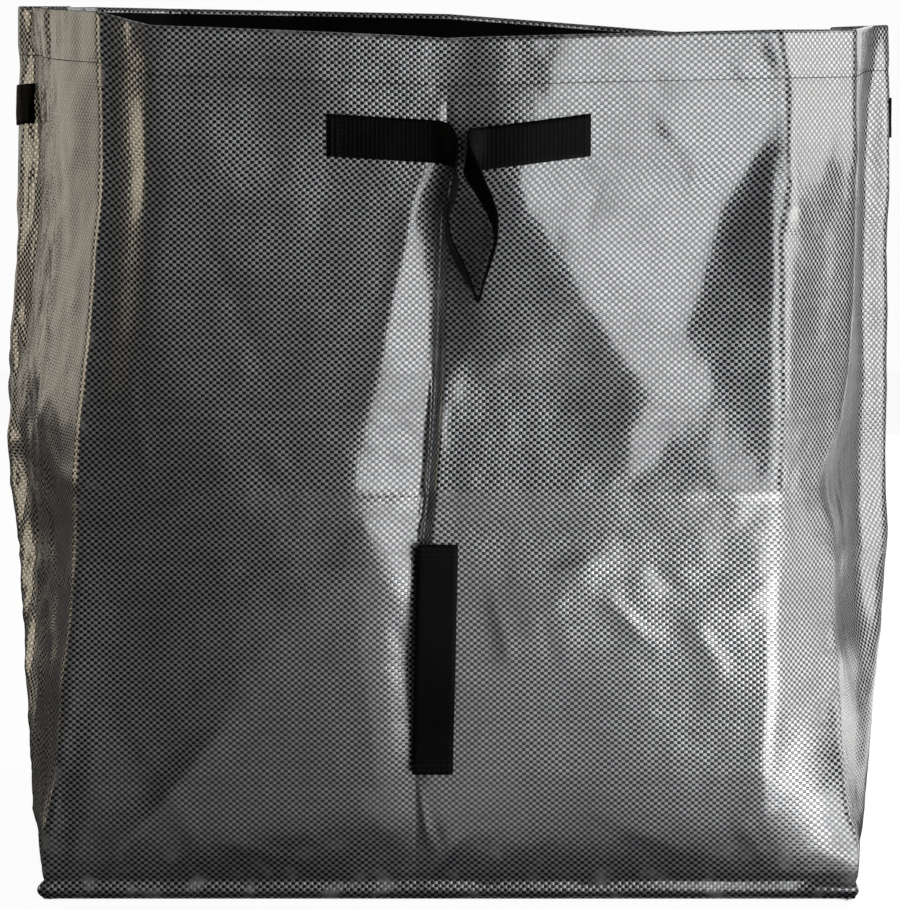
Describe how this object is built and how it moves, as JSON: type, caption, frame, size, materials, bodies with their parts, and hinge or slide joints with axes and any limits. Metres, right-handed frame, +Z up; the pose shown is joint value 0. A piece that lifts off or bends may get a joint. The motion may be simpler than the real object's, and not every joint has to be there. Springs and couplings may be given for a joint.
{
  "type": "garden waste bag",
  "caption": "Square open-topped garden waste bag of woven grey and black cloth with webbing handles, creased from flat packing.",
  "frame": {"origin": "centre of the bag's overall footprint, on the floor that its base rests on", "axes": "+Z up, -Y towards the front with the tipping grip, +X to the right seen from the front"},
  "size_m": [0.6008, 0.6078, 0.5556],
  "materials": {
    "woven_cloth": "plain weave of flat light grey and black tapes, slight sheen",
    "black_webbing": "ribbed black webbing, matt"
  },
  "bodies": {
    "root": {"bag_wall": "woven_cloth", "base_panel": "woven_cloth", "rim_band": "black_webbing", "front_handle": "black_webbing", "right_handle": "black_webbing", "back_handle": "black_webbing", "left_handle": "black_webbing", "tipping_grip": "black_webbing"}
  },
  "joints": []
}
